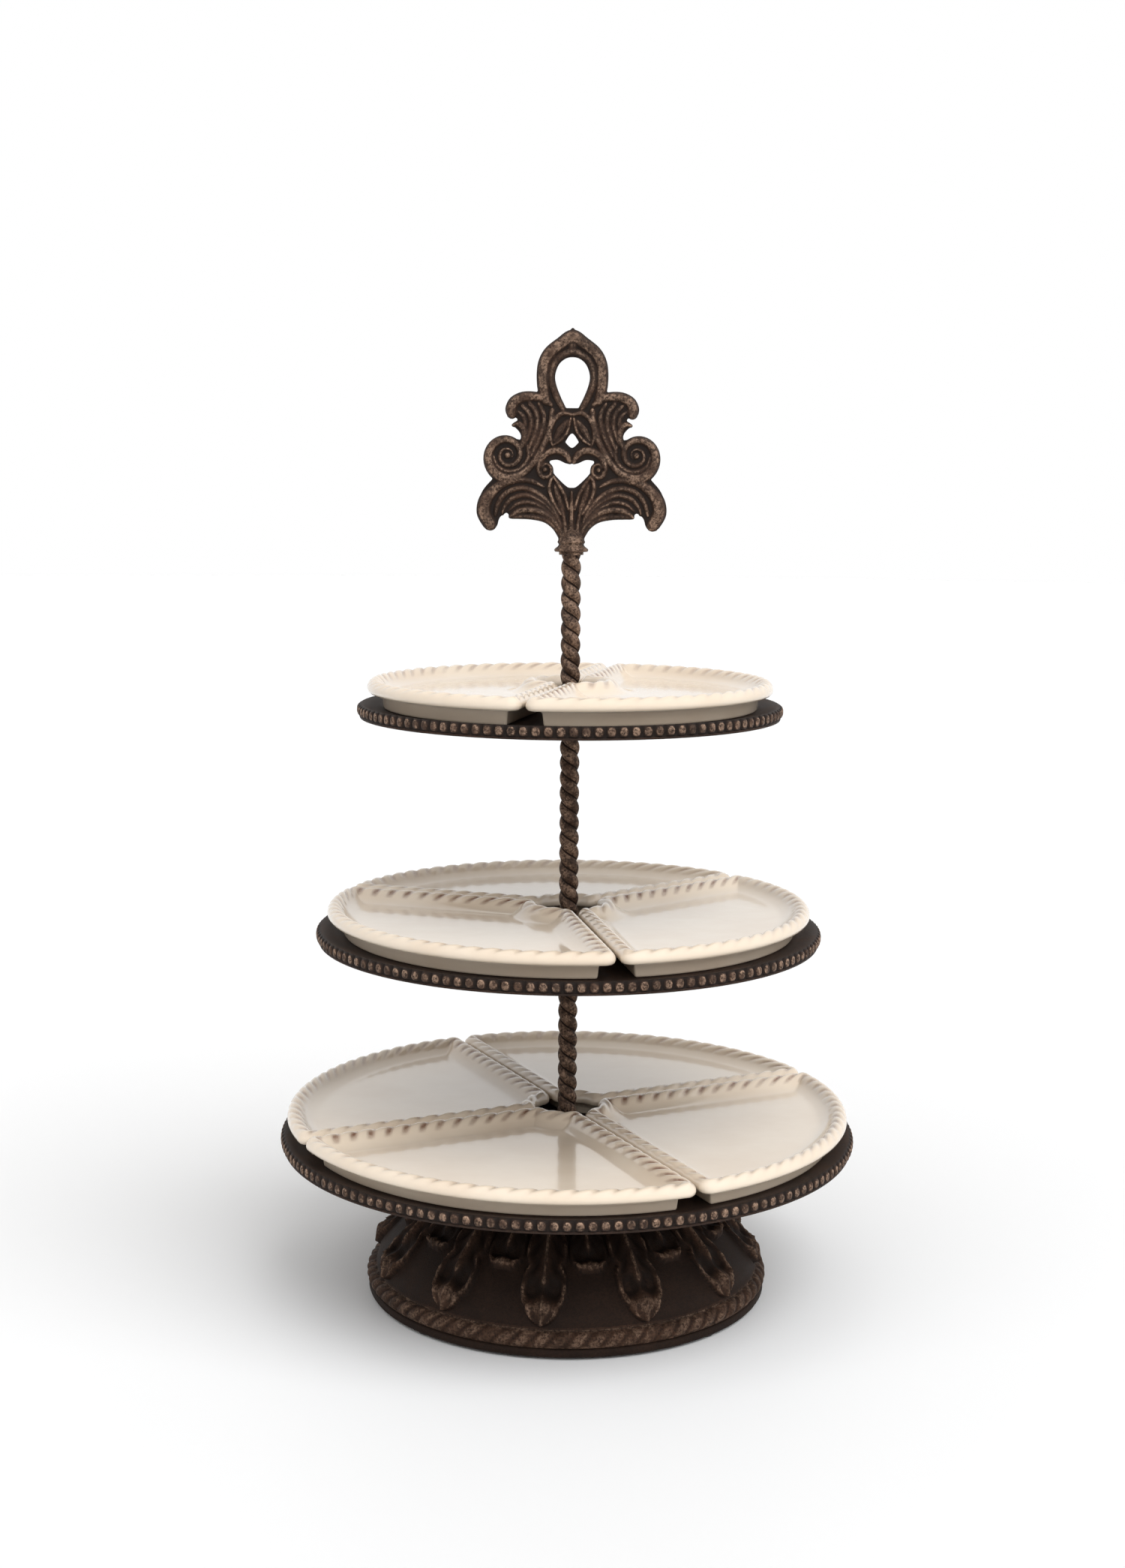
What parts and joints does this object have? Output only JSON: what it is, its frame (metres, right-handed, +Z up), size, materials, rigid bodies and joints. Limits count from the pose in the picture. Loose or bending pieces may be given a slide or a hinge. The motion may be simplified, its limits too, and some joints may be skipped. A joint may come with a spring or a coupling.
{
  "type": "tiered cake stand",
  "caption": "Tiered serving stand: cast metal pedestal, round beaded trays on a rope-twist rod, lift-off cream ceramic wedge dishes and an unscrewing scroll handle with a finger loop.",
  "frame": {"origin": "centre of the footprint, on the surface that the felt pads rest on", "axes": "+Z up along the rod; the flat handle lies in the XZ plane and the front faces -Y"},
  "size_m": [0.4572, 0.4572, 0.7604],
  "materials": {
    "cast_metal": "dark bronze-brown casting, rubbed lighter on raised edges",
    "zinc_steel": "zinc-plated",
    "felt": "pressed felt",
    "cream_glaze": "glossy cream glaze, brown wash in the flutes"
  },
  "bodies": {
    "stand": {"base_pedestal": "cast_metal", "foot_pad_1": "felt", "foot_pad_2": "felt", "foot_pad_3": "felt", "foot_pad_4": "felt", "base_washer": "zinc_steel", "base_bolt": "zinc_steel", "bottom_tray": "cast_metal", "middle_tray": "cast_metal", "top_tray": "cast_metal", "lower_rod": "cast_metal", "middle_rod": "cast_metal", "upper_rod": "cast_metal", "middle_tray_stud": "zinc_steel", "top_tray_stud": "zinc_steel", "handle_stud": "zinc_steel"},
    "handle_washer": {"handle_washer": "cast_metal"},
    "handle": {"handle": "cast_metal"},
    "bottom_dish_1": {"bottom_dish_1": "cream_glaze"},
    "bottom_dish_2": {"bottom_dish_2": "cream_glaze"},
    "bottom_dish_3": {"bottom_dish_3": "cream_glaze"},
    "bottom_dish_4": {"bottom_dish_4": "cream_glaze"},
    "middle_dish_1": {"middle_dish_1": "cream_glaze"},
    "middle_dish_2": {"middle_dish_2": "cream_glaze"},
    "middle_dish_3": {"middle_dish_3": "cream_glaze"},
    "top_dish_1": {"top_dish_1": "cream_glaze"},
    "top_dish_2": {"top_dish_2": "cream_glaze"}
  },
  "joints": [
    {"name": "handle_turn", "type": "hinge", "parent": "stand", "child": "handle_washer", "pos_m": [0, 0, 0.5881], "axis": [0, 0, 1], "range_deg": [0, 3600]},
    {"name": "handle_rise", "type": "slide", "parent": "handle_washer", "child": "handle", "axis": [0, 0, 1], "range_m": [0, 0.0125]},
    {"name": "bottom_dish_1_lift", "type": "slide", "parent": "stand", "child": "bottom_dish_1", "axis": [0.7722, -0.2734, 0.5736], "range_m": [0, 0.27]},
    {"name": "bottom_dish_2_lift", "type": "slide", "parent": "stand", "child": "bottom_dish_2", "axis": [0.2734, 0.7722, 0.5736], "range_m": [0, 0.27]},
    {"name": "bottom_dish_3_lift", "type": "slide", "parent": "stand", "child": "bottom_dish_3", "axis": [-0.7722, 0.2734, 0.5736], "range_m": [0, 0.27]},
    {"name": "bottom_dish_4_lift", "type": "slide", "parent": "stand", "child": "bottom_dish_4", "axis": [-0.2734, -0.7722, 0.5736], "range_m": [0, 0.27]},
    {"name": "middle_dish_1_lift", "type": "slide", "parent": "stand", "child": "middle_dish_1", "axis": [0.7745, -0.2667, 0.5736], "range_m": [0, 0.23]},
    {"name": "middle_dish_2_lift", "type": "slide", "parent": "stand", "child": "middle_dish_2", "axis": [-0.1563, 0.8041, 0.5736], "range_m": [0, 0.23]},
    {"name": "middle_dish_3_lift", "type": "slide", "parent": "stand", "child": "middle_dish_3", "axis": [-0.6182, -0.5374, 0.5736], "range_m": [0, 0.23]},
    {"name": "top_dish_1_lift", "type": "slide", "parent": "stand", "child": "top_dish_1", "axis": [0.7982, -0.1843, 0.5736], "range_m": [0, 0.22]},
    {"name": "top_dish_2_lift", "type": "slide", "parent": "stand", "child": "top_dish_2", "axis": [-0.7982, 0.1843, 0.5736], "range_m": [0, 0.22]}
  ],
  "couplings": [
    {"joint": "handle_rise", "follows": "handle_turn", "m_per_rad": 0.00019894}
  ]
}
